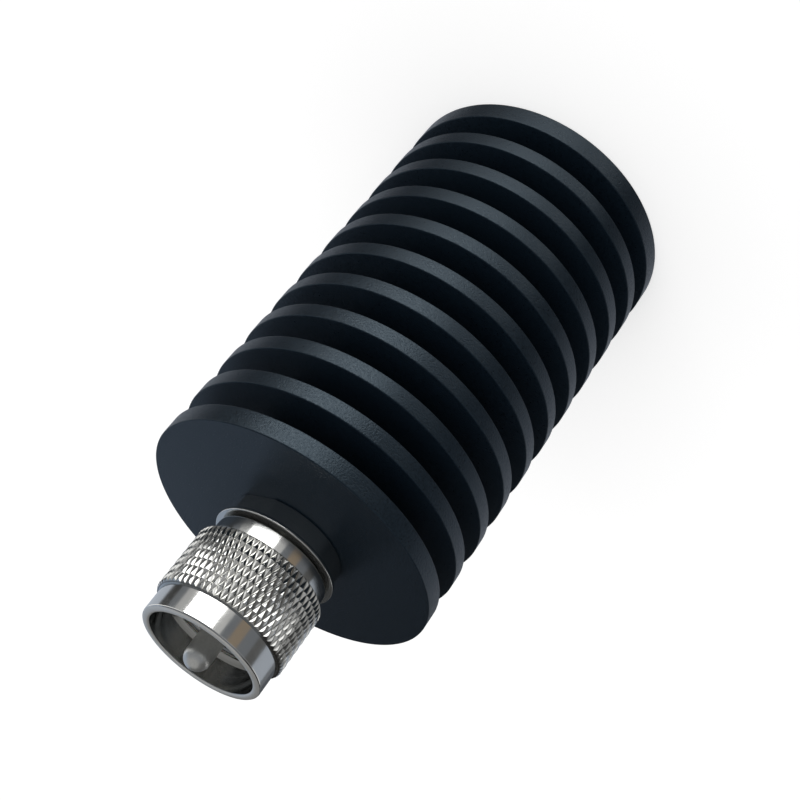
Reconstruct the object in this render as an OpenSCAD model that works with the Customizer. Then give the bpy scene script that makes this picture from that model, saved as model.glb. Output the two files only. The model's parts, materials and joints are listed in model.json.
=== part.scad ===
// Coaxial dummy load: a finned heatsink turned from one bar, standing on its
// rear face, with a screw-in plug that carries a knurled coupling nut.
// Millimetres, +Z up along the axis from the rear face to the plug.

/* [Heatsink] */
// outside diameter of every disc
heatsink_d = 46; // [40:0.5:60]
// fins between the front plate and the rear plate
fin_count = 9; // [6:1:12]
// thickness of one fin
fin_t = 2.6; // [2:0.1:3.5]
// open width between two discs
fin_gap = 4.45; // [3.5:0.05:6]
// thickness of the plate that carries the plug
front_plate_t = 3.1; // [2.5:0.1:5]
// thickness of the plate that the load stands on
rear_plate_t = 3.5; // [2.5:0.1:6]
// metal left round the chamber between the discs
core_wall = 5; // [4:0.25:8]
// bevel turned on every disc edge
edge_break = 0.35; // [0.1:0.05:0.6]
// bevel left in the corner where a fin meets the core
root_break = 0.5; // [0.2:0.1:1]

/* [Mounting collar] */
// spanner size across the two flats
flat_w = 17; // [16:0.5:20]
// depth of one flat below the round of the collar
flat_depth = 0.5; // [0.3:0.1:0.8]
// height of the collar from the front plate to the flange
collar_h = 3.2; // [2.5:0.1:5]
// how far the flange stands out over the collar
flange_lip = 0.78; // [0.4:0.02:1.2]
// thickness of the flange
flange_t = 0.6; // [0.5:0.1:1.5]
// thread that holds the collar in the heatsink
seat_thread_d = 16; // [15.5:0.5:16.5]
// screwed length in the heatsink
seat_thread_l = 7.5; // [6:0.5:10]

/* [Coupling nut] */
// nominal diameter of the coupling thread
thread_d = 15.875; // [15.5:0.125:17]
// radial room between the thread and the plain mouth in front of it
mouth_relief = 0.43; // [0.2:0.01:0.6]
// wall of the smooth front band
band_wall = 1.24; // [0.8:0.02:2]
// length of the plain mouth in front of the thread
mouth_l = 4; // [1.5:0.1:5]
// length of the smooth front band
band_l = 4.1; // [2:0.1:6]
// bevel on the front band's outer edge
band_break = 0.4; // [0.2:0.05:0.6]
// height of the knurl's groove bottoms over the front band
knurl_step = 0.4; // [0.3:0.05:1]
// depth of the knurl's grooves
knurl_depth = 0.3; // [0.2:0.05:0.6]
// how far the points of the first and last row are turned down
knurl_end = 0.15; // [0:0.05:0.3]
// points round the knurl
knurl_teeth = 66; // [40:2:80]
// half diamonds along the knurl
knurl_rows = 7; // [5:2:9]
// length of the knurl
knurl_l = 10.1; // [8:0.1:14]
// length of the smooth rear ring
ring_l = 2.8; // [2:0.1:5]
// step from the front band down to the rear ring, on the radius
ring_step = 0.5; // [0.4:0.05:1]
// thickness of the lip that turns on the plug's stem
lip_t = 3.4; // [2.5:0.1:4]
// open gap between the flange and the nut
nut_float = 0.56; // [0.3:0.02:1]

/* [Plug] */
// diameter of the stem that the nut turns on
stem_d = 12.4; // [11.5:0.1:12.6]
// radial running clearance of the nut on the stem
run_clear = 0.06; // [0.02:0.01:0.1]
// radial room between the plug's front and the coupling thread
front_clear = 0.24; // [0.15:0.01:0.4]
// length of the plug's front behind its face
front_l = 3.9; // [3:0.1:6]
// height of the two locking teeth on the face
tooth_h = 0.9; // [0.5:0.1:1.2]
// width of a locking tooth
tooth_w = 1.6; // [1:0.1:2.5]
// diameter of the centre pin's contact
pin_d = 3.96; // [3:0.02:4.2]
// diameter of the pin inside its bushes
shank_d = 5; // [4.4:0.1:5.4]
// reach of the pin's tip in front of the plug's face
pin_reach = 11.7; // [10:0.1:13]
// radial play of a screwed or pushed-in piece in its seat
seat_clear = 0.03; // [0.01:0.01:0.05]

/* [Termination] */
// depth of the resistor's seat below the front plate's face
chamber_depth = 24; // [22:0.5:40]
// thickness of the resistor's metal flange
carrier_t = 2; // [1.5:0.1:3]
// width of the resistor's metal flange
carrier_w = 6; // [5:0.1:7]
// thickness of the ceramic plate
ceramic_t = 1; // [0.6:0.1:1.5]
// room between the ceramic plate and a washer
ceramic_room = 0.2; // [0.1:0.05:0.4]
// thickness of the resistive film
film_t = 0.1; // [0.05:0.01:0.15]
// thickness of the ceramic cover
cap_t = 1; // [0.6:0.1:1.5]
// thickness of the input strip
lead_t = 0.2; // [0.15:0.01:0.3]
// width of the input strip
lead_w = 1.6; // [1:0.1:2]
// thread of the two flange screws
screw_d = 2; // [1.6:0.1:2]
// room between a washer and the chamber's wall
washer_room = 0.4; // [0.2:0.05:0.6]
// length of a screw below its head
screw_l = 7; // [6:0.5:9]

/* [Hidden] */
$fn = 96;

// small turned details
thread_ridge = 0.7;
seat_runout = 1.5;
seat_lead = 0.4;
lead_in = 0.6;
relief_depth = 0.8;
relief_w = 1.1;
relief_slope = 0.3;
foot_bevel = 0.25;
flange_bevel = 0.12;
edge_bevel = 0.2;
rim_bevel = 0.3;
thread_h = 0.5;
thread_lead = 0.6;
undercut_l = 1.4;
tail_step = 0.7;
tail_grip = 1.8;
bush_wall = 0.8;
bush_lip = 0.8;
bush_lip_t = 1;
stem_wall = 1.6;
pocket_wall = 2;
pocket_sink = 1.6;
front_float = 0.35;
face_sink = 0.5;
tooth_wall = 0.3;
bead_room = 0.9;
bead_l = 2.2;
pin_tail = 3.5;
slot_l = 2.4;
root_sink = 0.5;

// small details of the resistor, its strip and its screws
carrier_room = 0.3;
carrier_margin = 0.2;
film_margin = 0.2;
film_side = 0.3;
cap_margin = 0.1;
cap_side = 0.2;
cap_y = 1;
lead_land = 0.2;
lead_foot = 0.1;
lead_rise = 2;
lead_bend = 2;
lead_grip = 1.8;
washer_t = 0.5;
washer_rim = 1.2;
washer_play = 0.05;
washer_gap = 0.3;
head_h = 1.6;
head_rim = 0.9;
hole_play = 0.1;
hole_spare = 1;
hex_w = 1.3;
hex_depth = 0.9;

// heatsink
heatsink_r = heatsink_d / 2;
pitch = fin_t + fin_gap;
face_z = rear_plate_t + fin_count * pitch + fin_gap + front_plate_t;
discs = concat([[0, rear_plate_t]],
               [for (k = [0 : fin_count - 1])
                   [rear_plate_t + fin_gap + k * pitch,
                    rear_plate_t + (k + 1) * pitch]],
               [[face_z - front_plate_t, face_z]]);
seat_r = seat_thread_d / 2;
chamber_r = seat_r - thread_ridge;
core_r = seat_r + core_wall;
seat_end_z = face_z - seat_thread_l - seat_runout;
floor_z = face_z - chamber_depth;

// collar, stem and bushes
flat_x = flat_w / 2;
collar_r = flat_x + flat_depth;
flange_r = collar_r + flange_lip;
flange_z = face_z + collar_h;
flange_front_z = flange_z + flange_t;
collar_end_z = face_z - seat_thread_l;
stem_r = stem_d / 2;
tail_r = stem_r - tail_step;
tail_end_z = face_z - tail_grip;
bush_r = tail_r - bush_wall;
bush_end_z = collar_end_z + bush_lip_t;
bore_r = tail_r - stem_wall;

// coupling nut
nut_z = flange_front_z + nut_float;
knurl_z = nut_z + ring_l;
band_z = knurl_z + knurl_l;
mouth_z = band_z + band_l;
thread_r = thread_d / 2 - thread_h;
mouth_r = thread_d / 2 + mouth_relief;
band_r = mouth_r + band_wall;
ring_r = band_r - ring_step;
valley_r = band_r + knurl_step;
crest_r = valley_r + knurl_depth;
sleeve_r = band_r + 0.3 * knurl_step;
base_r = band_r + 0.7 * knurl_step;
sleeve_over = 0.08;
lip_r = stem_r + run_clear;
lip_front_z = nut_z + lip_t;

// plug front, insulators and pin
front_r = thread_r - front_clear;
front_z = lip_front_z + front_float;
plug_face_z = front_z + front_l;
pocket_r = front_r - pocket_wall;
pocket_z = front_z - pocket_sink;
dielectric_z = plug_face_z - face_sink;
pin_r = pin_d / 2;
shank_r = shank_d / 2;
pin_tip_z = plug_face_z + pin_reach;
bead_r = bore_r - bead_room;
bead_z = tail_end_z;
pin_end_z = collar_end_z - pin_tail;

// resistor on the chamber's floor
carrier_z = floor_z + carrier_t;
ceramic_z = carrier_z + ceramic_t;
film_z = ceramic_z + film_t;
washer_r = screw_d / 2 + washer_rim;
head_r = screw_d / 2 + head_rim;
head_z = carrier_z + washer_t;
screw_off = chamber_r - washer_r - washer_room;
ceramic_w = 2 * (screw_off - washer_r - ceramic_room);
ceramic_l = carrier_w - 2 * carrier_margin;

// outline of one disc and of the groove above it, going up the axis
function disc_edge(z0, z1) =
    [[heatsink_r - edge_break, z0], [heatsink_r, z0 + edge_break],
     [heatsink_r, z1 - edge_break], [heatsink_r - edge_break, z1]];
function groove_edge(z1, z2) =
    [[core_r + root_break, z1], [core_r, z1 + root_break],
     [core_r, z2 - root_break], [core_r + root_break, z2]];

// the whole finned body is one turned piece, so one outline makes it
module heatsink() {
    outside = [for (k = [0 : len(discs) - 1])
        each concat(disc_edge(discs[k][0], discs[k][1]),
                    k < len(discs) - 1
                        ? groove_edge(discs[k][1], discs[k + 1][0]) : [])];
    inside = [[seat_r + seat_lead, face_z], [seat_r, face_z - seat_lead],
              [seat_r, seat_end_z], [chamber_r, seat_end_z],
              [chamber_r, floor_z], [0, floor_z]];
    color([0.05, 0.05, 0.06])
    difference() {
        rotate_extrude() polygon(concat([[0, 0]], outside, inside));
        for (s = [-1, 1])
            translate([s * screw_off, 0, head_z - screw_l - hole_spare])
                cylinder(d = screw_d, h = screw_l + hole_spare);
    }
}

// screws into the heatsink; two flats take the spanner
module mounting_collar() {
    relief_r = seat_r - relief_depth;
    screw_r = seat_r - seat_clear;
    color([0.74, 0.73, 0.70])
    difference() {
        rotate_extrude() polygon([
            [bush_r - bush_lip, collar_end_z],
            [screw_r - lead_in, collar_end_z],
            [screw_r, collar_end_z + lead_in],
            [screw_r, face_z - relief_w - relief_slope],
            [relief_r, face_z - relief_w], [relief_r, face_z],
            [collar_r - foot_bevel, face_z], [collar_r, face_z + foot_bevel],
            [collar_r, flange_z], [flange_r - flange_bevel, flange_z],
            [flange_r, flange_z + flange_bevel],
            [flange_r, flange_front_z - flange_bevel],
            [flange_r - flange_bevel, flange_front_z],
            [tail_r, flange_front_z], [tail_r, tail_end_z],
            [bush_r, tail_end_z], [bush_r, bush_end_z],
            [bush_r - bush_lip, bush_end_z]]);
        for (s = [-1, 1])
            translate([s * (flat_x + collar_r), 0, face_z + collar_h / 2])
                cube([2 * collar_r, 3 * collar_r, collar_h], center = true);
    }
}

// the stem that the nut turns on, and the plug's front with two teeth
module connector_shell() {
    color([0.74, 0.73, 0.70])
    union() {
        rotate_extrude() polygon([
            [bore_r, tail_end_z],
            [tail_r - seat_clear - lead_in, tail_end_z],
            [tail_r - seat_clear, tail_end_z + lead_in],
            [tail_r - seat_clear, flange_front_z],
            [stem_r, flange_front_z], [stem_r, front_z],
            [front_r - edge_bevel, front_z], [front_r, front_z + edge_bevel],
            [front_r, plug_face_z - edge_bevel],
            [front_r - edge_bevel, plug_face_z],
            [pocket_r, plug_face_z], [pocket_r, pocket_z],
            [bore_r, pocket_z]]);
        intersection() {
            difference() {
                cylinder(r = front_r - edge_bevel,
                         h = plug_face_z + tooth_h);
                translate([0, 0, -1])
                    cylinder(r = pocket_r + tooth_wall,
                             h = plug_face_z + tooth_h + 2);
            }
            translate([-tooth_w / 2, -front_r, plug_face_z - root_sink])
                cube([tooth_w, 2 * front_r, tooth_h + root_sink]);
        }
    }
}

// ring of diamonds between two crossing sets of grooves, each a low pyramid
module knurl() {
    n = knurl_teeth;
    step = 360 / n;
    row_h = knurl_l / knurl_rows;
    function at(r, t, j) = [r * cos(t * step), r * sin(t * step),
                            knurl_z + j * row_h];
    crossings = [for (j = [0 : knurl_rows]) for (i = [0 : n - 1])
        at(valley_r, i + 0.5 * (j % 2), j)];
    peaks = [for (j = [0 : knurl_rows]) for (i = [0 : n - 1])
        at(j % knurl_rows == 0 ? crest_r - knurl_end : crest_r,
           i + 0.5 + 0.5 * (j % 2), j)];
    inner = [for (j = [0, knurl_rows]) for (i = [0 : n - 1])
        at(sleeve_r, i + 0.5 * (j % 2), j)];
    // numbers of a crossing, a peak, a lower and an upper inner point
    function c(i, j) = j * n + (i + n) % n;
    function p(i, j) = (knurl_rows + 1) * n + c(i, j);
    function q(i) = 2 * (knurl_rows + 1) * n + (i + n) % n;
    function w(i) = q(i) + n;
    upper = [for (j = [0 : knurl_rows - 1]) for (i = [0 : n - 1])
        each [[c(i, j), c(i + j % 2, j + 1), p(i, j)],
              [c(i + j % 2, j + 1), c(i + 1, j), p(i, j)]]];
    lower = [for (j = [1 : knurl_rows]) for (i = [0 : n - 1])
        each [[c(i + 1, j), c(i + j % 2, j - 1), p(i, j)],
              [c(i + j % 2, j - 1), c(i, j), p(i, j)]]];
    base = [for (i = [0 : n - 1])
        [c(i, 0), p(i, 0), c(i + 1, 0), q(i + 1), q(i)]];
    top = [for (i = [0 : n - 1])
        [w(i), w(i + 1), c(i + 1, knurl_rows), p(i, knurl_rows),
         c(i, knurl_rows)]];
    shift = knurl_rows % 2;
    wall = [for (i = [0 : n - 1])
        each [[q(i), q(i + 1), w(i + 1 - shift)],
              [q(i + shift), w(i + 1), w(i)]]];
    polyhedron(concat(crossings, peaks, inner),
               concat(upper, lower, base, top, wall));
}

// the nut is free to turn on the stem between the flange and the plug's front
module coupling_nut() {
    color([0.80, 0.79, 0.76])
    union() {
        knurl();
        rotate_extrude() polygon([
            [lip_r, nut_z], [ring_r - edge_bevel, nut_z],
            [ring_r, nut_z + edge_bevel],
            [ring_r, knurl_z + sleeve_over], [base_r, knurl_z + sleeve_over],
            [base_r, band_z - sleeve_over], [band_r, band_z - sleeve_over],
            [band_r, mouth_z - band_break], [band_r - band_break, mouth_z],
            [mouth_r + rim_bevel, mouth_z], [mouth_r, mouth_z - rim_bevel],
            [mouth_r, mouth_z - mouth_l],
            [thread_r, mouth_z - mouth_l - thread_lead],
            [thread_r, lip_front_z + undercut_l + thread_h],
            [thread_r + thread_h, lip_front_z + undercut_l],
            [thread_r + thread_h, lip_front_z], [lip_r, lip_front_z]]);
    }
}

// white bush that holds the pin in the plug's front
module front_insulator() {
    color([0.93, 0.93, 0.90])
    rotate_extrude() polygon([
        [shank_r + seat_clear, bead_z + bead_l],
        [bore_r - seat_clear, bead_z + bead_l],
        [bore_r - seat_clear, pocket_z],
        [pocket_r - seat_clear, pocket_z],
        [pocket_r - seat_clear, dielectric_z],
        [shank_r + seat_clear, dielectric_z]]);
}

// second bush, clamped behind the pin's bead by the screwed stem
module rear_insulator() {
    color([0.93, 0.93, 0.90])
    rotate_extrude() polygon([
        [shank_r + seat_clear, bush_end_z],
        [bush_r - seat_clear, bush_end_z],
        [bush_r - seat_clear, bead_z],
        [shank_r + seat_clear, bead_z]]);
}

// round-nosed contact with a bead between the bushes and a slotted rear end
module centre_pin() {
    color([0.82, 0.82, 0.80])
    difference() {
        union() {
            translate([0, 0, pin_end_z])
                cylinder(r = shank_r, h = dielectric_z - pin_end_z);
            translate([0, 0, pocket_z])
                cylinder(r = pin_r, h = pin_tip_z - pin_r - pocket_z);
            translate([0, 0, pin_tip_z - pin_r]) sphere(r = pin_r);
            translate([0, 0, bead_z]) cylinder(r = bead_r, h = bead_l);
        }
        translate([0, 0, pin_end_z])
            cube([2 * shank_d, lead_t + 2 * seat_clear, 2 * slot_l],
                 center = true);
    }
}

// metal foot of the resistor, screwed down on the chamber's floor
module resistor_flange() {
    color([0.72, 0.45, 0.30])
    translate([0, 0, floor_z])
    difference() {
        intersection() {
            cylinder(r = chamber_r - carrier_room, h = carrier_t);
            translate([-chamber_r, -carrier_w / 2, 0])
                cube([2 * chamber_r, carrier_w, carrier_t]);
        }
        for (s = [-1, 1])
            translate([s * screw_off, 0, -1])
                cylinder(d = screw_d + 2 * hole_play, h = carrier_t + 2);
    }
}

// ceramic plate that carries the film
module resistor_substrate() {
    color([0.86, 0.86, 0.82])
    translate([-ceramic_w / 2, -ceramic_l / 2, carrier_z])
        cube([ceramic_w, ceramic_l, ceramic_t]);
}

// printed resistive film
module resistor_film() {
    color([0.15, 0.15, 0.17])
    translate([-ceramic_w / 2 + film_side, -ceramic_l / 2 + film_margin,
               ceramic_z])
        cube([ceramic_w - 2 * film_side, ceramic_l - 2 * film_margin, film_t]);
}

// ceramic cover over the film, short of the end where the strip lands
module resistor_cap() {
    color([0.90, 0.90, 0.87])
    translate([-ceramic_w / 2 + cap_side, -cap_y, film_z])
        cube([ceramic_w - 2 * cap_side, cap_y + ceramic_l / 2 - cap_margin,
              cap_t]);
}

// thin strip from the film up into the pin's slot, with two bends
module resistor_lead() {
    land_y = ceramic_l / 2 - film_margin - lead_foot;
    low_z = film_z + lead_t / 2;
    bend_z = film_z + cap_t + lead_rise;
    path = [[-cap_y - lead_land, low_z], [-land_y, low_z], [-land_y, bend_z],
            [0, pin_end_z - lead_bend], [0, pin_end_z + lead_grip]];
    color([0.80, 0.78, 0.72])
    union() {
        for (k = [0 : len(path) - 2])
            let (d = path[k + 1] - path[k])
            translate([0, path[k][0], path[k][1]])
                rotate([atan2(d[1], d[0]), 0, 0])
                    translate([-lead_w / 2, 0, -lead_t / 2])
                        cube([lead_w, norm(d), lead_t]);
        for (k = [1 : len(path) - 2])
            translate([-lead_w / 2, path[k][0], path[k][1]])
                rotate([0, 90, 0]) cylinder(d = lead_t, h = lead_w);
    }
}

// two round-headed screws with a hexagon socket
module flange_screws() {
    color([0.55, 0.55, 0.56])
    for (s = [-1, 1])
        translate([s * screw_off, 0, head_z])
            difference() {
                union() {
                    cylinder(r = head_r, h = head_h);
                    translate([0, 0, -screw_l])
                        cylinder(d = screw_d - 2 * seat_clear,
                                 h = screw_l + head_h / 2);
                }
                translate([0, 0, head_h - hex_depth])
                    cylinder(d = hex_w / cos(30), h = 2 * hex_depth, $fn = 6);
            }
}

// split washers under the screw heads
module spring_washers() {
    color([0.50, 0.50, 0.52])
    for (s = [-1, 1])
        translate([s * screw_off, 0, carrier_z])
            difference() {
                cylinder(r = washer_r, h = washer_t);
                translate([0, 0, -1])
                    cylinder(d = screw_d + 2 * washer_play, h = washer_t + 2);
                translate([-washer_gap / 2, 0, -1])
                    cube([washer_gap, washer_r + 1, washer_t + 2]);
            }
}

heatsink();
mounting_collar();
connector_shell();
coupling_nut();
front_insulator();
rear_insulator();
centre_pin();
resistor_flange();
resistor_substrate();
resistor_film();
resistor_cap();
resistor_lead();
flange_screws();
spring_washers();
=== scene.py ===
# %% [markdown]
# # A coaxial dummy load, dressed in Blender
#
# A dummy load swallows the power of a transmitter on the test bench. A resistor sits in a
# black finned heatsink, and a screw-on plug with a knurled nut feeds it. The sizes come from
# a CAD model, which is loaded first as a fixed frame. This lesson then dresses it: the turned
# bodies are modelled again with soft edges, and every surface gets a finish.

# %% Load the frame
import json
import math

import bmesh
import bpy
from mathutils import Matrix, Vector

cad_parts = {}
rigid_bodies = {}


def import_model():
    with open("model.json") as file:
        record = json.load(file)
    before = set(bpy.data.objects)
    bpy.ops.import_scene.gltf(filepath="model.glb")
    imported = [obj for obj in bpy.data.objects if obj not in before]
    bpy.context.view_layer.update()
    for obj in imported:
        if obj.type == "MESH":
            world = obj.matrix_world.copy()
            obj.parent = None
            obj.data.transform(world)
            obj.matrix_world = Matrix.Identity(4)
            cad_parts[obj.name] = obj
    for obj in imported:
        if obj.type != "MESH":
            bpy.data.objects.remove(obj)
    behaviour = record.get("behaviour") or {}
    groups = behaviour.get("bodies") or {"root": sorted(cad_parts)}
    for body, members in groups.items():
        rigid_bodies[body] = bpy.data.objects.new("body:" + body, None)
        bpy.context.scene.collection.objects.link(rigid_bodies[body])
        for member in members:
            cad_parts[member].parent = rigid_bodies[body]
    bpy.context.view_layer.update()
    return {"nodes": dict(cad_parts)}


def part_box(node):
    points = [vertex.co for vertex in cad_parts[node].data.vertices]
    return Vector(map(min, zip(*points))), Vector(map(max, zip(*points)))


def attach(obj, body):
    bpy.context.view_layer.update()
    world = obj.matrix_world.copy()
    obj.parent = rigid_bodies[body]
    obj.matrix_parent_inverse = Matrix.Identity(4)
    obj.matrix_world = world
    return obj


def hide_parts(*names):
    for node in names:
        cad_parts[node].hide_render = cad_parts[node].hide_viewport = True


for leftover in list(bpy.data.objects):
    bpy.data.objects.remove(leftover)
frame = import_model()

# %% [markdown]
# ## Sizes
#
# Blender works in metres and a turner works in millimetres, so one factor turns one into the
# other. The main sizes are read from the frame, which keeps the pieces in step with the CAD
# model: the heatsink's box gives its radius and its front face, the nut's box its two ends.
# The sizes inside those boxes are named further down, each where it is first needed.

# %% Main sizes
MM = 0.001
heatsink_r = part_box("heatsink")[1].x
face_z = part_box("heatsink")[1].z
flange_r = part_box("mounting_collar")[1].x
flange_front_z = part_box("mounting_collar")[1].z
nut_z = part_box("coupling_nut")[0].z
mouth_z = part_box("coupling_nut")[1].z
print(f"heatsink {2 * heatsink_r / MM:.1f} mm across, face at {face_z / MM:.1f} mm")

# %% [markdown]
# ## From a half section to a turned piece
#
# Everything here that is round came off a lathe, and Blender's lathe is the spin operator. A
# half section is drawn as a line of points, each with its radius, its height and the size of
# its rounding. The vertex bevel rounds the corners while they are still single points, which
# is quicker and cleaner than a bevel on the finished mesh. Then the line is spun. Points that
# fall together on the axis are welded, and the faces are turned outwards.

# %% Draw a half section and spin it
ROUND_SEGMENTS = 3
WELD = 0.001 * MM


def draw_section(mesh, outline, closed=False):
    points = [mesh.verts.new((r, 0, z)) for r, z, _ in outline]
    for a, b in zip(points, points[1:]):
        mesh.edges.new((a, b))
    if closed:
        mesh.edges.new((points[-1], points[0]))
    for size in sorted({rounding for _, _, rounding in outline if rounding}):
        corners = [p for p, (_, _, rounding) in zip(points, outline) if rounding == size]
        bmesh.ops.bevel(mesh, geom=corners, offset=size, segments=ROUND_SEGMENTS, profile=0.5,
                        affect="VERTICES", material=-1)


def weld(mesh):
    bmesh.ops.remove_doubles(mesh, verts=mesh.verts, dist=WELD)
    bmesh.ops.recalc_face_normals(mesh, faces=mesh.faces)


def turn(mesh, steps):
    section = mesh.verts[:] + mesh.edges[:]
    bmesh.ops.spin(mesh, geom=section, cent=(0, 0, 0), axis=(0, 0, 1),
                   angle=2 * math.pi, steps=steps, use_merge=True)
    weld(mesh)


print("lathe ready, corners rounded in", ROUND_SEGMENTS, "steps")

# %% [markdown]
# ## From a bmesh to a piece
#
# A finished bmesh becomes an object at the origin. Faces are shaded smooth, edges sharper than
# a given angle stay crisp, and a Weighted Normal modifier keeps the big flat faces flat next
# to their narrow roundings, where plain smooth shading would smear a false gradient.

# %% Make an object
SHARP = math.radians(35)


def make_object(name, mesh):
    data = bpy.data.meshes.new(name)
    mesh.to_mesh(data)
    mesh.free()
    made = bpy.data.objects.new(name, data)
    bpy.context.scene.collection.objects.link(made)
    return made


def finish_shading(made):
    made.data.shade_smooth()
    made.data.set_sharp_from_angle(angle=SHARP)
    flat = made.modifiers.new("flat_faces", "WEIGHTED_NORMAL")
    flat.keep_sharp = True
    print(made.name, len(made.data.polygons), "faces")


print(f"edges over {math.degrees(SHARP):.0f} degrees stay sharp")

# %% [markdown]
# ## Cutting with a second shape
#
# Spanner flats and screw holes aren't round about the main axis, so the lathe can't make them.
# A Boolean modifier subtracts a small cutter instead, as a mill or a drill would. The result
# is taken as the new mesh and the cutter is thrown away.

# %% Cut a shape away
def cut_away(piece, cutter):
    cut = piece.modifiers.new("cut", "BOOLEAN")
    cut.operation = "DIFFERENCE"
    cut.solver = "EXACT"
    cut.object = cutter
    evaluated = piece.evaluated_get(bpy.context.evaluated_depsgraph_get())
    result = bpy.data.meshes.new_from_object(evaluated)
    piece.modifiers.clear()
    piece.data = result
    bpy.data.objects.remove(cutter)
    print(piece.name, "cut,", len(result.polygons), "faces")


print("mill and drill ready")

# %% [markdown]
# ## The finned heatsink
#
# The heatsink is one bar of aluminium, grooved on a lathe into eleven discs on a core and
# bored from the front for the resistor. It could be a stack of cylinders, but then every
# joint would be a seam. One half section, walked up the outside and down into the bore, gives
# one closed piece with a soft edge on every disc.

# %% Heatsink section
FIN_COUNT = 9
FIN_T = 2.6 * MM
FIN_GAP = 4.45 * MM
REAR_PLATE = 3.5 * MM
FRONT_PLATE = 3.1 * MM
CORE_R = 13 * MM
SEAT_R = 8 * MM
SEAT_DEPTH = 9 * MM
CHAMBER_R = 7.3 * MM
CHAMBER_DEPTH = 24 * MM
EDGE = 0.18 * MM
ROOT = 0.5 * MM

pitch = FIN_T + FIN_GAP
discs = [(0, REAR_PLATE)]
for k in range(FIN_COUNT):
    discs.append((REAR_PLATE + FIN_GAP + k * pitch, REAR_PLATE + (k + 1) * pitch))
discs.append((face_z - FRONT_PLATE, face_z))

outline = [(0, 0, 0)]
for low, high in discs:
    if low > 0:
        outline.append((CORE_R, low, ROOT))
    outline += [(heatsink_r, low, EDGE), (heatsink_r, high, EDGE)]
    if high < face_z:
        outline.append((CORE_R, high, ROOT))
outline += [(SEAT_R, face_z, EDGE), (SEAT_R, face_z - SEAT_DEPTH, 0),
            (CHAMBER_R, face_z - SEAT_DEPTH, 0),
            (CHAMBER_R, face_z - CHAMBER_DEPTH, 0), (0, face_z - CHAMBER_DEPTH, 0)]
print("heatsink section with", len(discs), "discs")

# %% [markdown]
# Two tapped holes in the chamber's floor take the resistor's screws. Nobody sees them, but a
# screw that ran through solid metal would be a fault in the mesh, so they are drilled as well.
# The box of the two screws reaches to the rims of their heads, which gives the holes' places.

# %% Turn and drill the heatsink
HEATSINK_STEPS = 180
HOLE_R = 1 * MM
HOLE_SPARE = 1 * MM
HOLE_SIDES = 32
SCREW_HEAD_R = 1.9 * MM

mesh = bmesh.new()
draw_section(mesh, outline)
turn(mesh, HEATSINK_STEPS)
heatsink = make_object("heatsink_body", mesh)

screws_low, screws_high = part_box("flange_screws")
hole_x = screws_high.x - SCREW_HEAD_R
hole_top = face_z - CHAMBER_DEPTH + HOLE_SPARE
hole_bottom = screws_low.z - HOLE_SPARE
mesh = bmesh.new()
for x in (-hole_x, hole_x):
    place = Matrix.Translation((x, 0, (hole_top + hole_bottom) / 2))
    bmesh.ops.create_cone(mesh, cap_ends=True, segments=HOLE_SIDES, radius1=HOLE_R,
                          radius2=HOLE_R, depth=hole_top - hole_bottom, matrix=place)
cut_away(heatsink, make_object("drill", mesh))
finish_shading(heatsink)
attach(heatsink, "load")
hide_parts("heatsink")

# %% [markdown]
# ## The mounting collar
#
# The collar screws into the heatsink and carries the plug. What shows is a short round block
# with two spanner flats, and a thin flange in front of it. It is turned like the heatsink,
# two boxes mill the flats, and a Bevel modifier breaks only the edges that the mill left.

# %% Turn the collar
COLLAR_STEPS = 144
COLLAR_R = 9 * MM
FLANGE_T = 0.6 * MM
RELIEF_R = 7.2 * MM
RELIEF_W = 1.1 * MM
SCREW_R = 7.97 * MM
SCREW_L = 7.5 * MM
SCREW_LEAD = 0.6 * MM
SCREW_RUNOUT = 0.3 * MM
TAIL_R = 5.5 * MM
TAIL_GRIP = 1.8 * MM
BUSH_R = 4.7 * MM
BUSH_HOLE_R = 3.9 * MM
BUSH_LIP = 1 * MM
SMALL = 0.12 * MM

flange_z = flange_front_z - FLANGE_T
collar_end = face_z - SCREW_L
outline = [(BUSH_HOLE_R, collar_end, 0), (SCREW_R, collar_end, SCREW_LEAD),
           (SCREW_R, face_z - RELIEF_W, SCREW_RUNOUT), (RELIEF_R, face_z - RELIEF_W, 0),
           (RELIEF_R, face_z, 0), (COLLAR_R, face_z, 2 * SMALL), (COLLAR_R, flange_z, 0),
           (flange_r, flange_z, SMALL), (flange_r, flange_front_z, SMALL),
           (TAIL_R, flange_front_z, 0), (TAIL_R, face_z - TAIL_GRIP, 0),
           (BUSH_R, face_z - TAIL_GRIP, 0), (BUSH_R, collar_end + BUSH_LIP, 0),
           (BUSH_HOLE_R, collar_end + BUSH_LIP, 0)]
mesh = bmesh.new()
draw_section(mesh, outline, closed=True)
turn(mesh, COLLAR_STEPS)
collar = make_object("mounting_collar_body", mesh)
print(f"collar turned, flange {2 * flange_r / MM:.1f} mm across")

# %% Mill the spanner flats
FLAT_X = 8.5 * MM

mesh = bmesh.new()
flat_size = Vector((2 * COLLAR_R, 3 * COLLAR_R, flange_z - face_z))
for side in (-1, 1):
    middle = Vector((side * (FLAT_X + COLLAR_R), 0, (flange_z + face_z) / 2))
    place = Matrix.Translation(middle) @ Matrix.Diagonal(flat_size).to_4x4()
    bmesh.ops.create_cube(mesh, size=1, matrix=place)
cut_away(collar, make_object("mill", mesh))

broken = collar.modifiers.new("broken_edges", "BEVEL")
broken.width = SMALL
broken.segments = 2
broken.limit_method = "ANGLE"
broken.angle_limit = SHARP
finish_shading(collar)
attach(collar, "load")
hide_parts("mounting_collar")

# %% [markdown]
# ## The knurl of the coupling nut
#
# The knurl is two crossing sets of slanted grooves that leave rows of long diamonds, so that
# fingers grip. It could be a bump texture, but its outline shows against the light, so it is
# real geometry. A ring of edges is extruded upwards seven times, each time turned by half a
# diamond. Every skewed square is split along its short side, and where the level edges are
# dissolved, pairs of triangles close up to diamonds.

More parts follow.
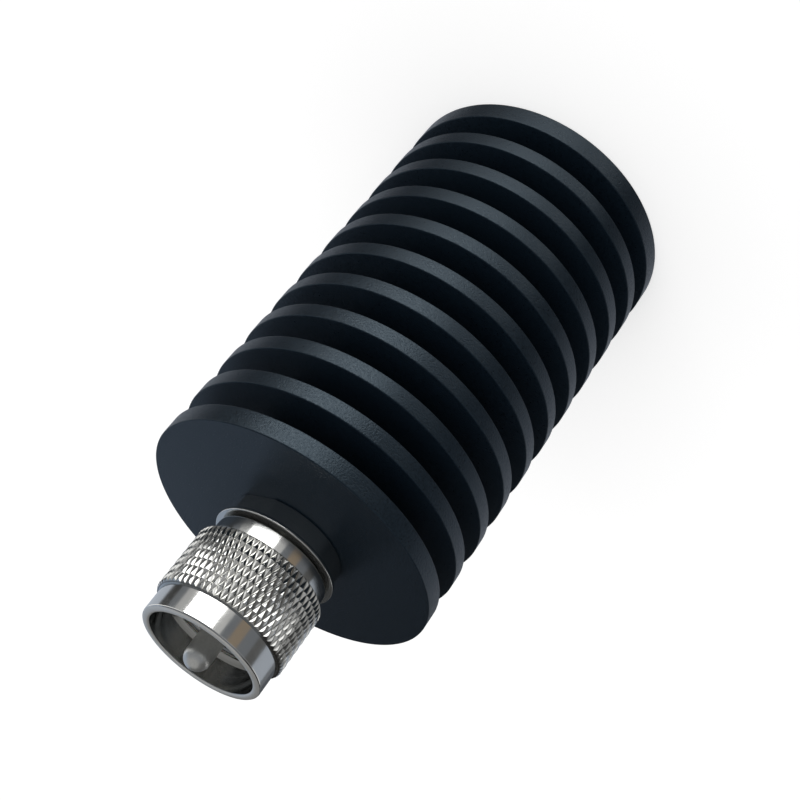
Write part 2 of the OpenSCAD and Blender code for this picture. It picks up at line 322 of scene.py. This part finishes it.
# %% Lay out the diamonds
DIAMONDS = 66
ROWS = 7
RING_L = 2.8 * MM
BAND_L = 4.1 * MM
KNURL_DEPTH = 0.3 * MM
LEVEL_SHARE = 0.1
knurl_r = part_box("coupling_nut")[1].x
valley_r = knurl_r - KNURL_DEPTH
knurl_z = nut_z + RING_L
band_z = mouth_z - BAND_L
row_h = (band_z - knurl_z) / ROWS
half_step = math.pi / DIAMONDS


def is_level(edge):
    return abs(edge.verts[0].co.z - edge.verts[1].co.z) < LEVEL_SHARE * row_h


nut_mesh = bmesh.new()
place = Matrix.Translation((0, 0, knurl_z)) @ Matrix.Rotation(half_step, 4, "Z")
bmesh.ops.create_circle(nut_mesh, segments=DIAMONDS, radius=valley_r, matrix=place)
ring = nut_mesh.edges[:]
for row in range(ROWS):
    grown = bmesh.ops.extrude_edge_only(nut_mesh, edges=ring)["geom"]
    verts = [g for g in grown if isinstance(g, bmesh.types.BMVert)]
    fresh = set(verts)
    ring = [g for g in grown if isinstance(g, bmesh.types.BMEdge) and fresh.issuperset(g.verts)]
    turn_by = half_step if row % 2 == 0 else -half_step
    bmesh.ops.rotate(nut_mesh, verts=verts, cent=(0, 0, 0),
                     matrix=Matrix.Rotation(turn_by, 3, "Z"))
    bmesh.ops.translate(nut_mesh, verts=verts, vec=(0, 0, row_h))
bmesh.ops.triangulate(nut_mesh, faces=nut_mesh.faces[:], quad_method="SHORT_EDGE")
bmesh.ops.recalc_face_normals(nut_mesh, faces=nut_mesh.faces[:])
inner_level = [e for e in nut_mesh.edges if len(e.link_faces) == 2 and is_level(e)]
bmesh.ops.dissolve_edges(nut_mesh, edges=inner_level)
print("knurl laid out in", len(nut_mesh.faces), "diamonds and half diamonds")

# %% [markdown]
# Each diamond is then inset and lifted, which gives it four flanks, and poked to a low point
# on top. The half diamonds at both ends get the same flanks, which turns the ends of the
# knurl down. Their open edges are halved to give the turned body, which follows, as many
# points to meet.

# %% Raise the diamonds
FLANK_IN = 0.26 * MM
FLANK_UP = 0.2 * MM
CROWN = 0.09 * MM

diamonds = nut_mesh.faces[:]
bmesh.ops.inset_individual(nut_mesh, faces=diamonds, thickness=FLANK_IN, depth=FLANK_UP,
                           use_even_offset=True)
bmesh.ops.poke(nut_mesh, faces=diamonds, offset=CROWN)
open_edges = [e for e in nut_mesh.edges if e.is_boundary]
bmesh.ops.subdivide_edges(nut_mesh, edges=open_edges, cuts=1)
widest = max(Vector(v.co.xy).length for v in nut_mesh.verts)
print(f"knurl raised to {2 * widest / MM:.2f} mm across")

# %% [markdown]
# ## The nut's turned body
#
# Behind the knurl lies a smooth ring, in front a smooth band, and inside a lip that turns on
# the plug's stem, the coupling thread and a plain mouth. This section is open, because the
# knurl is its missing outer wall. It is spun in twice as many steps as the knurl has diamonds,
# so its two end loops match the knurl's. The wall of the bore is cut into many rows first, to
# give the thread something to bend.

# %% Turn the nut's body
RING_R = 9.1075 * MM
RING_DRAFT = 0.14 * MM
BAND_R = 9.6075 * MM
BAND_BREAK = 0.4 * MM
MOUTH_R = 8.3675 * MM
MOUTH_L = 4 * MM
RIM = 0.3 * MM
THREAD_R = 7.4375 * MM
THREAD_H = 0.5 * MM
THREAD_LEAD = 0.6 * MM
THREAD_ROWS = 80
LIP_R = 6.26 * MM
LIP_T = 3.4 * MM
UNDERCUT = 1.4 * MM
REAR_BREAK = 0.2 * MM
NEAR = 0.01 * MM

lip_z = nut_z + LIP_T
thread_low = lip_z + UNDERCUT + THREAD_H
thread_high = mouth_z - MOUTH_L - THREAD_LEAD
outline = [(RING_R - RING_DRAFT, knurl_z, 0), (RING_R, nut_z, REAR_BREAK),
           (LIP_R, nut_z, SMALL), (LIP_R, lip_z, SMALL), (THREAD_R + THREAD_H, lip_z, 0),
           (THREAD_R + THREAD_H, lip_z + UNDERCUT, 0), (THREAD_R, thread_low, 0),
           (THREAD_R, thread_high, 0), (MOUTH_R, mouth_z - MOUTH_L, 0),
           (MOUTH_R, mouth_z, RIM), (BAND_R, mouth_z, BAND_BREAK), (BAND_R, band_z, 0)]
body = bmesh.new()
draw_section(body, outline)
wall = [e for e in body.edges if all(abs(v.co.x - THREAD_R) < NEAR for v in e.verts)]
bmesh.ops.subdivide_edges(body, edges=wall, cuts=THREAD_ROWS)
turn(body, 2 * DIAMONDS)
print("nut body turned with", len(body.faces), "faces")

# %% [markdown]
# The coupling thread has 24 turns to the inch. The rows of the bore are pushed outwards by a
# triangle wave that climbs one pitch in each turn, which makes a true helix without a seam.
# At both ends the groove fades out, as where a tap runs in and out.

# %% Cut the thread
INCH_IN_MM = 25.4
TURNS_PER_INCH = 24
THREAD_PITCH = INCH_IN_MM / TURNS_PER_INCH * MM
THREAD_DEPTH = 0.9 * THREAD_H
FADE = 0.8 * MM

for point in body.verts:
    radius = Vector(point.co.xy).length
    if abs(radius - THREAD_R) > NEAR:
        continue
    turns = math.atan2(point.co.y, point.co.x) / (2 * math.pi)
    share = (point.co.z / THREAD_PITCH - turns) % 1
    wave = 1 - abs(2 * share - 1)
    ends = min(point.co.z - thread_low, thread_high - point.co.z) / FADE
    depth = THREAD_DEPTH * wave * min(1, max(0, ends))
    point.co.xy = Vector(point.co.xy) * (radius + depth) / radius
print(f"thread of {(thread_high - thread_low) / THREAD_PITCH:.1f} turns")

# %% [markdown]
# The knurl and the turned body become one mesh, and bridge_loops closes the two rings between
# them, so the nut is one skin without an open edge. The knurl's facets are left flat. Each is
# a small mirror of its own, and smooth shading would melt a diamond into a cushion.

# %% Join the knurl and the body
side = bpy.data.meshes.new("body_side")
body.to_mesh(side)
body.free()
nut_mesh.from_mesh(side)
bpy.data.meshes.remove(side)
for z in (knurl_z, band_z):
    loops = [e for e in nut_mesh.edges
             if e.is_boundary and all(abs(v.co.z - z) < NEAR for v in e.verts)]
    bmesh.ops.bridge_loops(nut_mesh, edges=loops)
weld(nut_mesh)
print("open edges left in the nut:", sum(not e.is_manifold for e in nut_mesh.edges))

nut = make_object("coupling_nut_body", nut_mesh)
finish_shading(nut)
for face in nut.data.polygons:
    if Vector(face.center.xy).length > valley_r:
        face.use_smooth = False
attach(nut, "nut")
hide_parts("coupling_nut")

# %% [markdown]
# ## Helpers for materials
#
# Colours are written as they are picked from a screen, as sRGB hex values, while shaders
# count in linear light, so one function converts them. A second one adds a node with its
# settings and its inputs, where an input is either a value or another node's output. Two more
# turn a real size into the scale of a noise or of a wave.

# %% Colour and node helpers
WAVE_UNIT = math.pi / 10


def linear(hex_colour):
    parts = [int(hex_colour[i:i + 2], 16) / 255 for i in (1, 3, 5)]
    return [*(c / 12.92 if c <= 0.04045 else ((c + 0.055) / 1.055) ** 2.4 for c in parts), 1]


def add(tree, kind, inputs=None, **settings):
    made = tree.nodes.new("ShaderNode" + kind)
    for name, value in settings.items():
        setattr(made, name, value)
    for name, value in (inputs or {}).items():
        if isinstance(value, bpy.types.NodeSocket):
            tree.links.new(value, made.inputs[name])
        else:
            made.inputs[name].default_value = value
    return made


def new_material(name):
    made = bpy.data.materials.new(name)
    made.use_nodes = True
    made.node_tree.nodes.clear()
    return made


def dress(piece, finish):
    piece.data.materials.clear()
    piece.data.materials.append(finish)


def grain(size):
    return 1 / size


def ripple(width):
    return WAVE_UNIT / width


print("a 1 mm ripple is a wave of scale", round(ripple(1 * MM)))

# %% [markdown]
# ## Black anodised aluminium
#
# Anodising grows a hard, porous oxide that is dyed black. It isn't a mirror any more: the
# surface is a dark slate that scatters its highlights, with a cool cast where it shines. A
# fine grain from the etching bath shows on the rims, and faint turning rings on the faces.
# The oxide is a clear dielectric over dye, so the shader isn't metallic. Real etch pits are
# finer than a pixel of the render, so the grain is drawn coarser than it is.

# %% Black anodised aluminium
GRAIN = 0.28 * MM
TOOL_RING = 0.45 * MM
TOOL_RING_LIFT = 0.02 * MM
ETCH_LIFT = 0.08 * MM
# a noise rarely leaves the middle of its range from 0 to 1
NOISE_LOW = 0.3
NOISE_HIGH = 0.7

anodised = new_material("black_anodised_aluminium_turned")
tree = anodised.node_tree
place = add(tree, "TexCoord").outputs["Object"]
etch = add(tree, "TexNoise", {"Vector": place, "Scale": grain(GRAIN), "Detail": 3})
rings = add(tree, "TexWave", {"Vector": place, "Scale": ripple(TOOL_RING), "Distortion": 0.4,
                              "Detail": 1, "Detail Scale": 2},
            wave_type="RINGS", rings_direction="Z")
dye = add(tree, "ValToRGB", {"Fac": etch.outputs["Fac"]})
pit, crest = dye.color_ramp.elements
pit.position = NOISE_LOW
pit.color = linear("#080f16")
crest.position = 0.72
crest.color = linear("#121d27")
gloss = add(tree, "MapRange", {"Value": etch.outputs["Fac"], "From Min": NOISE_LOW,
                               "From Max": NOISE_HIGH, "To Min": 0.27, "To Max": 0.47})
cut_marks = add(tree, "Bump", {"Strength": 0.05, "Distance": TOOL_RING_LIFT,
                               "Height": rings.outputs["Fac"]})
etched = add(tree, "Bump", {"Strength": 0.65, "Distance": ETCH_LIFT,
                            "Height": etch.outputs["Fac"],
                            "Normal": cut_marks.outputs["Normal"]})
shader = add(tree, "BsdfPrincipled", {"Base Color": dye.outputs["Color"], "IOR": 1.5,
                                      "Roughness": gloss.outputs["Result"],
                                      "Specular Tint": linear("#cae2f2"),
                                      "Normal": etched.outputs["Normal"]})
add(tree, "OutputMaterial", {"Surface": shader.outputs["BSDF"]})
dress(heatsink, anodised)
print("finish:", anodised.name)

# %% [markdown]
# ## Bright nickel plate over turned brass
#
# Nickel is a metal mirror with a slightly warm grey. The turning marks of the brass below show
# through as fine lines round the axis. A finishing cut can be finer than a pixel of the render,
# so the lines are drawn about one pixel apart. The colour follows the distance from the axis:
# dark at the knurl's groove bottoms and bright a little above them, which is painted shade in
# the grooves. Inside the bore the plate gets a darker tone, which is painted shade as well.

# %% Nickel: lines, smudges and tone
TURNED_LINE = 0.16 * MM
TURNED_LIFT = 0.01 * MM
SMUDGE = 2.5 * MM
GROOVE_SHADE_BELOW = 0.02 * MM
GROOVE_SHADE_ABOVE = 0.1 * MM
KNURL_CLEAR = 0.2 * MM
BORE_CLEAR = 0.05 * MM

nickel = new_material("bright_nickel_plate_turned")
tree = nickel.node_tree
place = add(tree, "TexCoord").outputs["Object"]
lines = add(tree, "TexWave", {"Vector": place, "Scale": ripple(TURNED_LINE), "Distortion": 1.5,
                              "Detail": 2, "Detail Scale": 3},
            wave_type="BANDS", bands_direction="Z")
smudge = add(tree, "TexNoise", {"Vector": place, "Scale": grain(SMUDGE), "Detail": 4})
gloss = add(tree, "MapRange", {"Value": smudge.outputs["Fac"], "From Min": NOISE_LOW,
                               "From Max": NOISE_HIGH, "To Min": 0.11, "To Max": 0.19})
flat_place = add(tree, "VectorMath", {0: place, 1: (1, 1, 0)}, operation="MULTIPLY")
radius = add(tree, "VectorMath", {0: flat_place.outputs["Vector"]}, operation="LENGTH")
# painted shade: the knurl's groove bottoms get the darker tone, fading to the bright tone a
# little above them
groove_shade = add(tree, "MapRange", {"Value": radius.outputs["Value"],
                                "From Min": valley_r - GROOVE_SHADE_BELOW,
                                "From Max": valley_r + GROOVE_SHADE_ABOVE, "To Min": 0, "To Max": 1})
off_knurl = add(tree, "Math", {0: radius.outputs["Value"], 1: BAND_R + KNURL_CLEAR},
                operation="LESS_THAN")
outside_groove_shade = add(tree, "Math", {0: groove_shade.outputs["Result"], 1: off_knurl.outputs["Value"]},
            operation="MAXIMUM")
plated = add(tree, "Mix", {"Factor": outside_groove_shade.outputs["Value"], "A": linear("#a2a19d"),
                           "B": linear("#d5d5d2")}, data_type="RGBA")
# painted shade: everything nearer the axis than the nut's mouth, the bore and the plug inside it,
# gets a darker tone
bore_shade = add(tree, "Math", {0: radius.outputs["Value"], 1: MOUTH_R + BORE_CLEAR},
           operation="LESS_THAN")
tone = add(tree, "Mix", {"Factor": bore_shade.outputs["Value"], "A": plated.outputs["Result"],
                         "B": linear("#c0c0bd")}, data_type="RGBA")
print(f"painted_shade up to {(valley_r + GROOVE_SHADE_ABOVE) / MM:.2f} mm from the axis")

# %% [markdown]
# Two flat faces don't shine like the rest: the nut's end face is satin, and the flange's front
# is a shade duller. The height along the axis picks both out, so one material does for all. The
# end face gets a rougher and less metallic surface, the flange only a slightly less metallic one.

# %% Nickel: dull end faces and shader
MOUTH_SKIN = 0.15 * MM
MOUTH_ROUGH = 0.42
MOUTH_METAL = 0.75
FLANGE_SKIN = 0.1 * MM
FLANGE_LOSS = 0.05

height = add(tree, "SeparateXYZ", {"Vector": place})
mouth_face = add(tree, "Math", {0: height.outputs["Z"], 1: mouth_z - MOUTH_SKIN},
                 operation="GREATER_THAN")
dull = add(tree, "Mix", {"Factor": mouth_face.outputs["Value"], "A": gloss.outputs["Result"],
                         "B": MOUTH_ROUGH})
mouth_metal = add(tree, "MapRange", {"Value": mouth_face.outputs["Value"], "To Min": 1,
                                     "To Max": MOUTH_METAL})
flange_face = add(tree, "Math", {0: height.outputs["Z"], 1: flange_front_z, 2: FLANGE_SKIN},
                  operation="COMPARE")
metal = add(tree, "Math", {0: flange_face.outputs["Value"], 1: -FLANGE_LOSS,
                           2: mouth_metal.outputs["Result"]}, operation="MULTIPLY_ADD")
turned = add(tree, "Bump", {"Strength": 0.06, "Distance": TURNED_LIFT,
                            "Height": lines.outputs["Fac"]})
shader = add(tree, "BsdfPrincipled", {"Base Color": tone.outputs["Result"],
                                      "Metallic": metal.outputs["Value"],
                                      "Roughness": dull.outputs["Result"],
                                      "Normal": turned.outputs["Normal"]})
add(tree, "OutputMaterial", {"Surface": shader.outputs["BSDF"]})
for piece in (nut, collar, frame["nodes"]["connector_shell"]):
    dress(piece, nickel)
print("finish:", nickel.name)

# %% [markdown]
# ## Finishes inside the plug and the chamber
#
# The remaining pieces stay as the CAD model made them and only get a finish. Their materials
# share one recipe: a noise, coarse enough to show, mixes a darker and a lighter tone, varies
# the roughness a little and lifts the surface as a fine bump. Metals differ from ceramic and
# plastic by one value. The white bushes also let a little light in, as fluoropolymer does.

# %% Recipe for the inner pieces
ROUGH_SPREAD = 0.05
GRAIN_LIFT = 0.01 * MM
WAX_DEPTH = 0.5 * MM


def grained_finish(name, dark, light, size, rough, metal=0, waxy=0):
    made = new_material(name)
    tree = made.node_tree
    place = add(tree, "TexCoord").outputs["Object"]
    spots = add(tree, "TexNoise", {"Vector": place, "Scale": grain(size), "Detail": 5})
    tone = add(tree, "Mix", {"Factor": spots.outputs["Fac"], "A": linear(dark),
                             "B": linear(light)}, data_type="RGBA")
    gloss = add(tree, "MapRange", {"Value": spots.outputs["Fac"], "From Min": NOISE_LOW,
                                   "From Max": NOISE_HIGH, "To Min": rough - ROUGH_SPREAD,
                                   "To Max": rough + ROUGH_SPREAD})
    raised = add(tree, "Bump", {"Strength": 0.1, "Distance": GRAIN_LIFT,
                                "Height": spots.outputs["Fac"]})
    shader = add(tree, "BsdfPrincipled", {"Base Color": tone.outputs["Result"],
                                          "Metallic": metal, "Subsurface Weight": waxy,
                                          "Subsurface Scale": WAX_DEPTH,
                                          "Roughness": gloss.outputs["Result"],
                                          "Normal": raised.outputs["Normal"]})
    add(tree, "OutputMaterial", {"Surface": shader.outputs["BSDF"]})
    return made


print(f"roughness varies by {ROUGH_SPREAD} to each side")

# %% Finishes for the inner pieces
# satin silver plate on the contact pin and the strip: pale, with soft broad highlights
silver = grained_finish("silver_plate_satin", "#d2d2ce", "#f0f0ec", 0.3 * MM, 0.36, metal=0.92)
# turned fluoropolymer: milky white, slightly waxy
bush = grained_finish("fluoropolymer_turned", "#d6d4cc", "#e8e7e1", 0.6 * MM, 0.45, waxy=0.2)
# bare copper alloy, cut from strip: warm metal with darker patches
copper = grained_finish("copper_alloy_bare", "#a86a48", "#c98d67", 0.8 * MM, 0.32, metal=1)
# white alumina, fired: chalky and matt
ceramic = grained_finish("alumina_fired", "#d4d2c8", "#e6e4dc", 0.15 * MM, 0.6)
# resistive film, screen printed and fired: nearly black, with a fine speckle
film = grained_finish("resistive_film_printed", "#121214", "#26262b", 0.1 * MM, 0.5)
# plain steel of the screws and washers: grey metal, a little dull
steel = grained_finish("steel_plain", "#77777a", "#9a9a9d", 0.25 * MM, 0.33, metal=1)

INNER = {silver: ("centre_pin", "resistor_lead"), bush: ("front_insulator", "rear_insulator"),
         copper: ("resistor_flange",), ceramic: ("resistor_substrate", "resistor_cap"),
         film: ("resistor_film",), steel: ("flange_screws", "spring_washers")}
for finish, names in INNER.items():
    for name in names:
        dress(frame["nodes"][name], finish)
    print("finish:", finish.name, "on", ", ".join(names))

# %% [markdown]
# ## The camera
#
# The load stands on its rear face, and the photograph shows it lying back. So the camera
# looks down on it from the side and is rolled round its own axis until the plug points to
# the lower left. Each of its three directions is a mix of the load's axis and of two
# directions across it.

# %% Camera
AXIS = Vector((0, 0, 1))
ACROSS = Vector((-0.7501, -0.6613, 0))
TOWARDS = Vector((0.6613, -0.7501, 0))
CAMERA_PLACE = (0.119447, -0.13479, 0.158225)
LENS = 62.586
SENSOR = 36


def direction(along, across, towards):
    return along * AXIS + across * ACROSS + towards * TOWARDS


camera_right = direction(-0.50926, 0.79611, 0.32685)
camera_up = direction(-0.67565, -0.60509, 0.42112)
camera_back = direction(0.53305, -0.00638, 0.84604)

lens = bpy.data.cameras.new("camera")
lens.lens = LENS
lens.sensor_width = SENSOR
lens.clip_start = 10 * MM
camera = bpy.data.objects.new("camera", lens)
bpy.context.scene.collection.objects.link(camera)
turned_frame = Matrix((camera_right, camera_up, camera_back)).transposed()
camera.matrix_world = Matrix.Translation(CAMERA_PLACE) @ turned_frame.to_4x4()
bpy.context.scene.camera = camera
print(f"camera {camera.location.length:.3f} m from the load's foot, lens {LENS} mm")

# %% [markdown]
# ## Floor and light
#
# A pale floor and a soft sun give plain studio light. The floor glows a little for the camera
# alone, so that it reads as white paper and still keeps a soft shadow. The world is white to
# the camera and in reflections, and a quieter light to everything else.

# %% Floor
FLOOR_HALF = 1.5
FLOOR_DROP = 0.05 * MM

paper = new_material("white_paper_sweep")
tree = paper.node_tree
path = add(tree, "LightPath")
sheet_tone = add(tree, "BsdfDiffuse", {"Color": linear("#cfcfcf")})
glow = add(tree, "Emission", {"Color": (1, 1, 1, 1), "Strength": 0.5})
both = add(tree, "AddShader", {0: sheet_tone.outputs["BSDF"], 1: glow.outputs["Emission"]})
seen = add(tree, "MixShader", {"Fac": path.outputs["Is Camera Ray"],
                               1: sheet_tone.outputs["BSDF"], 2: both.outputs["Shader"]})
add(tree, "OutputMaterial", {"Surface": seen.outputs["Shader"]})

mesh = bmesh.new()
bmesh.ops.create_grid(mesh, x_segments=1, y_segments=1, size=FLOOR_HALF,
                      matrix=Matrix.Translation((0, 0, -FLOOR_DROP)))
floor = make_object("floor", mesh)
dress(floor, paper)
floor.visible_glossy = False
print("floor", 2 * FLOOR_HALF, "m wide")

# %% World and lamp
SUN_LEVEL = 1.0
SUN_SPREAD = math.radians(60)
SUN_TILT = math.radians(50)
SUN_TURN = math.radians(60)

world = bpy.data.worlds.new("studio")
bpy.context.scene.world = world
world.use_nodes = True
tree = world.node_tree
tree.nodes.clear()
path = add(tree, "LightPath")
shown = add(tree, "Math", {0: path.outputs["Is Camera Ray"], 1: path.outputs["Is Glossy Ray"]},
            operation="MAXIMUM")
shown = add(tree, "Math", {0: shown.outputs["Value"], 1: path.outputs["Is Transmission Ray"]},
            operation="MAXIMUM")
soft = add(tree, "Background", {"Color": (1, 1, 1, 1), "Strength": 0.7})
white = add(tree, "Background", {"Color": (1, 1, 1, 1), "Strength": 1})
mixed = add(tree, "MixShader", {"Fac": shown.outputs["Value"], 1: soft.outputs["Background"],
                                2: white.outputs["Background"]})
add(tree, "OutputWorld", {"Surface": mixed.outputs["Shader"]})

lamp = bpy.data.lights.new("soft_sun", "SUN")
lamp.energy = SUN_LEVEL
lamp.angle = SUN_SPREAD
sun = bpy.data.objects.new("soft_sun", lamp)
bpy.context.scene.collection.objects.link(sun)
sun.rotation_euler = (SUN_TILT, 0, SUN_TURN)
sun.visible_glossy = False
print("sun of strength", lamp.energy)

# %% [markdown]
# ## A room for the reflections
#
# Polished metal has no look of its own: it shows what stands round it. A photographer puts
# white and black cards there, and so does this scene. A dim round room stands about the load,
# and inside it hang the cards, each a piece of a cylinder made by spinning one upright edge
# through part of a turn. Only reflections see them, so they light nothing and throw no shadow.

# %% Show something to reflections only
WHITE = "#ffffff"


def reflect_only(made, colour, level):
    sheen = new_material(made.name)
    lit = add(sheen.node_tree, "Emission", {"Color": linear(colour), "Strength": level})
    add(sheen.node_tree, "OutputMaterial", {"Surface": lit.outputs["Emission"]})
    dress(made, sheen)
    made.visible_camera = False
    made.visible_diffuse = False
    made.visible_shadow = False
    made.visible_transmission = False


print("cards are seen by reflections only")

# %% The room
ROOM_R = 0.52
ROOM_LOW = -1.0
ROOM_HIGH = 0.6
ROOM_SIDES = 64
ROOM_LEVEL = 0.3

for name, height in (("ceiling", ROOM_HIGH), ("ground", ROOM_LOW)):
    mesh = bmesh.new()
    bmesh.ops.create_circle(mesh, cap_ends=True, segments=ROOM_SIDES, radius=ROOM_R,
                            matrix=Matrix.Translation((0, 0, height)))
    reflect_only(make_object(name, mesh), WHITE, ROOM_LEVEL)
print("room", ROOM_HIGH - ROOM_LOW, "m high")

# %% [markdown]
# Each card has a first and a last angle in degrees round the load's axis, a lowest and a
# highest height in metres, a colour and a level, where 1 is white. They are placed for this
# camera. From there the smooth rings of the nut and the rims of the fins mirror the cards below
# the height 0. The cards from 0 up to 0.1 m show mainly in the facets of the knurl, so these
# can be set by themselves. Faces that look along the axis mirror the two highest ones.

# %% The cards
CARD_R = 0.45
FULL_TURN = 360
DEGREES_PER_STEP = 4
COOL = "#e8f1ff"
CARDS = {
    # the wall all round
    "wall": (0, FULL_TURN, ROOM_LOW, ROOM_HIGH, "#eef5ff", 0.2),
    # a tall soft box in front, and its dim edges
    "soft_box": (-38, 14, -0.2, -0.03, WHITE, 5),
    "soft_box_low": (-48, 6, -0.34, -0.2, WHITE, 3.6),
    "soft_box_ground": (-58, -4, ROOM_LOW, -0.34, WHITE, 1.15),
    "box_shoulder": (-54, -38, -0.2, 0, WHITE, 0.6),
    "box_edge": (14, 34, ROOM_LOW, 0, WHITE, 0.5),
    # right of it
    "facet_card": (14, 94, 0, 0.1, WHITE, 1.2),
    "black_card_right": (50, 68, ROOM_LOW, -0.02, WHITE, 0.05),
    "grey_card_right": (34, 72, -0.02, 0, WHITE, 0.6),
    "white_card_right": (72, 132, ROOM_LOW, 0, COOL, 0.62),
    "white_card_upper": (94, 132, 0, 0.1, COOL, 0.62),
    # behind the load
    "black_card_back": (134, 170, -0.14, 0.1, COOL, 0.11),
    "white_card_low": (132, 190, ROOM_LOW, -0.14, COOL, 0.5),
    "white_card_back": (186, 229, ROOM_LOW, 0, COOL, 0.5),
    "facet_card_back": (186, 229, 0, 0.1, WHITE, 0.85),
    # left of the soft box
    "black_card_left": (229, 250, ROOM_LOW, 0, WHITE, 0.11),
    "warm_card": (272, 291, -0.12, -0.02, "#ffe6c8", 0.28),
    "dark_card_low": (250, 275, ROOM_LOW, -0.17, WHITE, 0.05),
    "soft_box_side": (275, 302, ROOM_LOW, -0.25, WHITE, 1.5),
    "dark_card_left": (229, 276, 0, 0.1, WHITE, 0.3),
    "grey_card_left": (276, 318, 0, 0.1, WHITE, 0.48),
    # above the soft box
    "dark_card_front": (-42, 14, 0, 0.1, WHITE, 0.15),
    # high up
    "high_card": (60, 131, 0.1, 0.55, "#d4e6ff", 0.46),
    "dark_card": (131, 250, 0.12, ROOM_HIGH, WHITE, 0.04),
}
for name, (start, stop, low_z, high_z, colour, level) in CARDS.items():
    width = stop - start
    distance = ROOM_R if width == FULL_TURN else CARD_R
    mesh = bmesh.new()
    low = mesh.verts.new((distance, 0, low_z))
    high = mesh.verts.new((distance, 0, high_z))
    edge = mesh.edges.new((low, high))
    first = Matrix.Rotation(math.radians(start), 3, "Z")
    bmesh.ops.rotate(mesh, verts=[low, high], cent=(0, 0, 0), matrix=first)
    bmesh.ops.spin(mesh, geom=[low, high, edge], cent=(0, 0, 0), axis=(0, 0, 1),
                   angle=math.radians(width), steps=max(2, width // DEGREES_PER_STEP),
                   use_merge=width == FULL_TURN)
    reflect_only(make_object(name, mesh), colour, level)
print(len(CARDS), "cards round the load")

# %% [markdown]
# ## Colour management
#
# The Standard view shows colours about as they are written.

# %% Finish
bpy.context.scene.view_settings.view_transform = "Standard"
